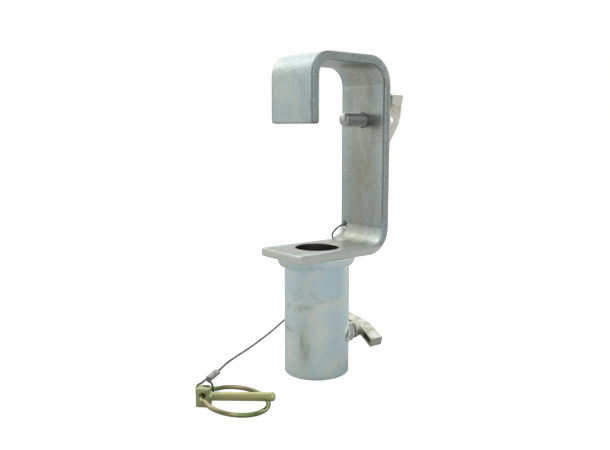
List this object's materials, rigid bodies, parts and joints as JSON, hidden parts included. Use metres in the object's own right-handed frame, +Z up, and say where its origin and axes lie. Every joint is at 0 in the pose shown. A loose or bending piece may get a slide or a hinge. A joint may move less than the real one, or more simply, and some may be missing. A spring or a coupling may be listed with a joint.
{
  "type": "hook clamp with spigot socket",
  "caption": "Zinc-plated C-hook clamp of bent flat bar with a welded spigot socket, wing bolts through the back and the socket, and a linch pin with a ring on a wire lanyard.",
  "frame": {"origin": "on the floor under the middle of the clamp, half way between the foot's front edge and the end of the clamp bolt's wing head; the lanyard, linch pin and ring are left out of that middle", "axes": "+Z up along the socket, +X from the hook's lip to its back and out along the wing bolts, +Y across the bar, away from the linch pin's side"},
  "size_m": [0.1762, 0.0722, 0.218],
  "materials": {
    "zinc_plate": "bright zinc plate, faintly blue and yellow",
    "zinc_casting": "zinc-plated casting, slightly rough",
    "yellow_passivate": "yellow passivated zinc",
    "steel_rope": "stranded galvanised wire",
    "crimped_alloy": "crimped, dull"
  },
  "bodies": {
    "clamp": {"hook_strap": "zinc_plate", "socket_tube": "zinc_plate", "socket_weld": "zinc_plate", "lock_nut": "zinc_plate", "lock_nut_weld": "zinc_plate", "linch_pin": "yellow_passivate", "lanyard_rope": "steel_rope", "lanyard_eye_hook": "steel_rope", "lanyard_eye_pin": "steel_rope", "ferrule_hook": "crimped_alloy", "ferrule_pin": "crimped_alloy"},
    "clamp_stud": {"clamp_stud": "zinc_plate"},
    "clamp_wing": {"clamp_wing": "zinc_casting"},
    "lock_stud": {"lock_stud": "zinc_plate"},
    "lock_wing": {"lock_wing": "zinc_casting"},
    "linch_ring": {"linch_ring": "yellow_passivate"}
  },
  "joints": [
    {"name": "clamp_advance", "type": "slide", "parent": "clamp", "child": "clamp_stud", "axis": [-1, 0, 0], "range_m": [-0.0181, 0.0121]},
    {"name": "clamp_turn", "type": "hinge", "parent": "clamp_stud", "child": "clamp_wing", "pos_m": [0.04475, 0, 0.1752], "axis": [-1, 0, 0], "range_deg": [-4320, 2880]},
    {"name": "lock_advance", "type": "slide", "parent": "clamp", "child": "lock_stud", "axis": [-0.9976, 0.0698, 0], "range_m": [-0.01135, 0.0013]},
    {"name": "lock_turn", "type": "hinge", "parent": "lock_stud", "child": "lock_wing", "pos_m": [0.01665, -0.00272, 0.0234], "axis": [-0.9976, 0.0698, 0], "range_deg": [-3240, 360]},
    {"name": "ring_swing", "type": "hinge", "parent": "clamp", "child": "linch_ring", "pos_m": [-0.11545, -0.0058, 0.0072], "axis": [0.7254, 0.6884, 0], "range_deg": [0, 180]}
  ],
  "couplings": [
    {"joint": "clamp_advance", "follows": "clamp_turn", "m_per_rad": 0.00023873},
    {"joint": "lock_advance", "follows": "lock_turn", "m_per_rad": 0.00019894}
  ]
}
